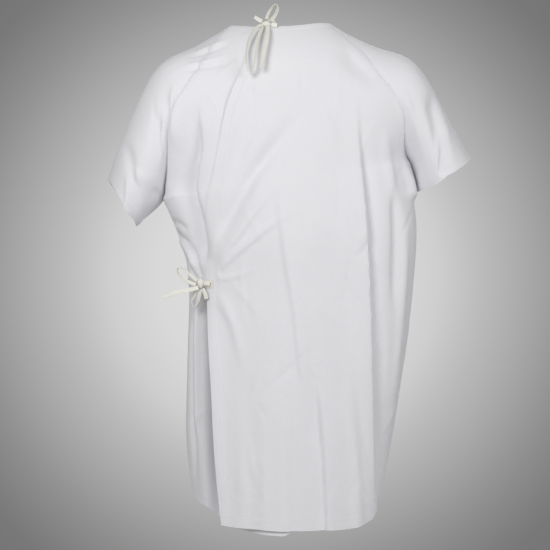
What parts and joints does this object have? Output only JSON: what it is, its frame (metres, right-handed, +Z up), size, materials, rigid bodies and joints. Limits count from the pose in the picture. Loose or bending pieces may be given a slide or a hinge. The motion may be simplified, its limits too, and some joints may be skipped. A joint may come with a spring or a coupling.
{
  "type": "patient gown",
  "caption": "Wrap-over patient gown with short raglan sleeves, bound neck, turned hems and cotton tape ties bowed at the neck and at the side.",
  "frame": {"origin": "middle of the neck opening, at the height of the neck edge", "axes": "+Z up to the wearer's head, -Y out of the wearer's back, where the gown wraps over and ties, +X to the wearer's right hand"},
  "size_m": [0.8332, 0.3533, 1.1427],
  "materials": {
    "cotton": "plain-woven white cotton, matt",
    "stitched_cotton": "the same cotton turned over and stitched",
    "tape": "ivory cotton tape, matt"
  },
  "bodies": {
    "gown": {"front_panel": "cotton", "front_hem": "stitched_cotton", "inner_back_panel": "cotton", "inner_back_hem": "stitched_cotton", "inner_free_edge": "stitched_cotton", "outer_back_panel": "cotton", "outer_back_hem": "stitched_cotton", "outer_free_edge_upper": "stitched_cotton", "left_sleeve_cap": "cotton", "right_sleeve_cap": "cotton", "left_back_raglan_seam": "stitched_cotton", "left_front_raglan_seam": "stitched_cotton", "left_side_seam": "stitched_cotton", "right_back_raglan_seam": "stitched_cotton", "right_front_raglan_seam": "stitched_cotton", "right_side_seam": "stitched_cotton", "neck_binding": "stitched_cotton", "neck_knot": "tape", "neck_tie_outer": "tape", "neck_tie_inner": "tape", "neck_loop_small": "tape", "neck_tail_short": "tape", "side_knot": "tape", "side_tie_outer": "tape", "outer_tie_patch": "tape", "seam_tie_patch": "tape", "side_tie_seam": "tape"},
    "flap": {"flap_panel": "cotton", "flap_hem": "stitched_cotton", "flap_free_edge": "stitched_cotton"},
    "left_arm": {"left_sleeve": "cotton", "left_sleeve_hem": "stitched_cotton", "left_underarm_seam": "stitched_cotton"},
    "right_arm": {"right_sleeve": "cotton", "right_sleeve_hem": "stitched_cotton", "right_underarm_seam": "stitched_cotton"},
    "neck_bow": {"neck_loop_long": "tape", "neck_tail_long": "tape"},
    "side_bow": {"side_loop_upper": "tape", "side_tail_long": "tape"},
    "side_bow_lower": {"side_loop_lower": "tape", "side_tail_short": "tape"}
  },
  "joints": [
    {"name": "left_sleeve_lift", "type": "hinge", "parent": "gown", "child": "left_arm", "pos_m": [-0.35299, 0.01002, -0.23963], "axis": [0, 1, 0], "range_deg": [0, 35]},
    {"name": "right_sleeve_lift", "type": "hinge", "parent": "gown", "child": "right_arm", "pos_m": [0.38628, 0.00801, -0.2047], "axis": [0, -1, 0], "range_deg": [0, 35]},
    {"name": "flap_swing", "type": "hinge", "parent": "gown", "child": "flap", "pos_m": [0.1953, -0.129, -0.64369], "axis": [0, 0, 1], "range_deg": [0, 25]},
    {"name": "neck_bow_lift", "type": "hinge", "parent": "gown", "child": "neck_bow", "pos_m": [-0.033, -0.08215, -0.00528], "axis": [-1, 0, 0], "range_deg": [0, 50]},
    {"name": "side_bow_swing", "type": "hinge", "parent": "gown", "child": "side_bow", "pos_m": [-0.17749, -0.10639, -0.58101], "axis": [0, 0.171, 0.9853], "range_deg": [0, 35]},
    {"name": "side_bow_lift", "type": "hinge", "parent": "gown", "child": "side_bow_lower", "pos_m": [-0.17749, -0.10639, -0.58101], "axis": [-1, 0, 0], "range_deg": [0, 15]}
  ]
}
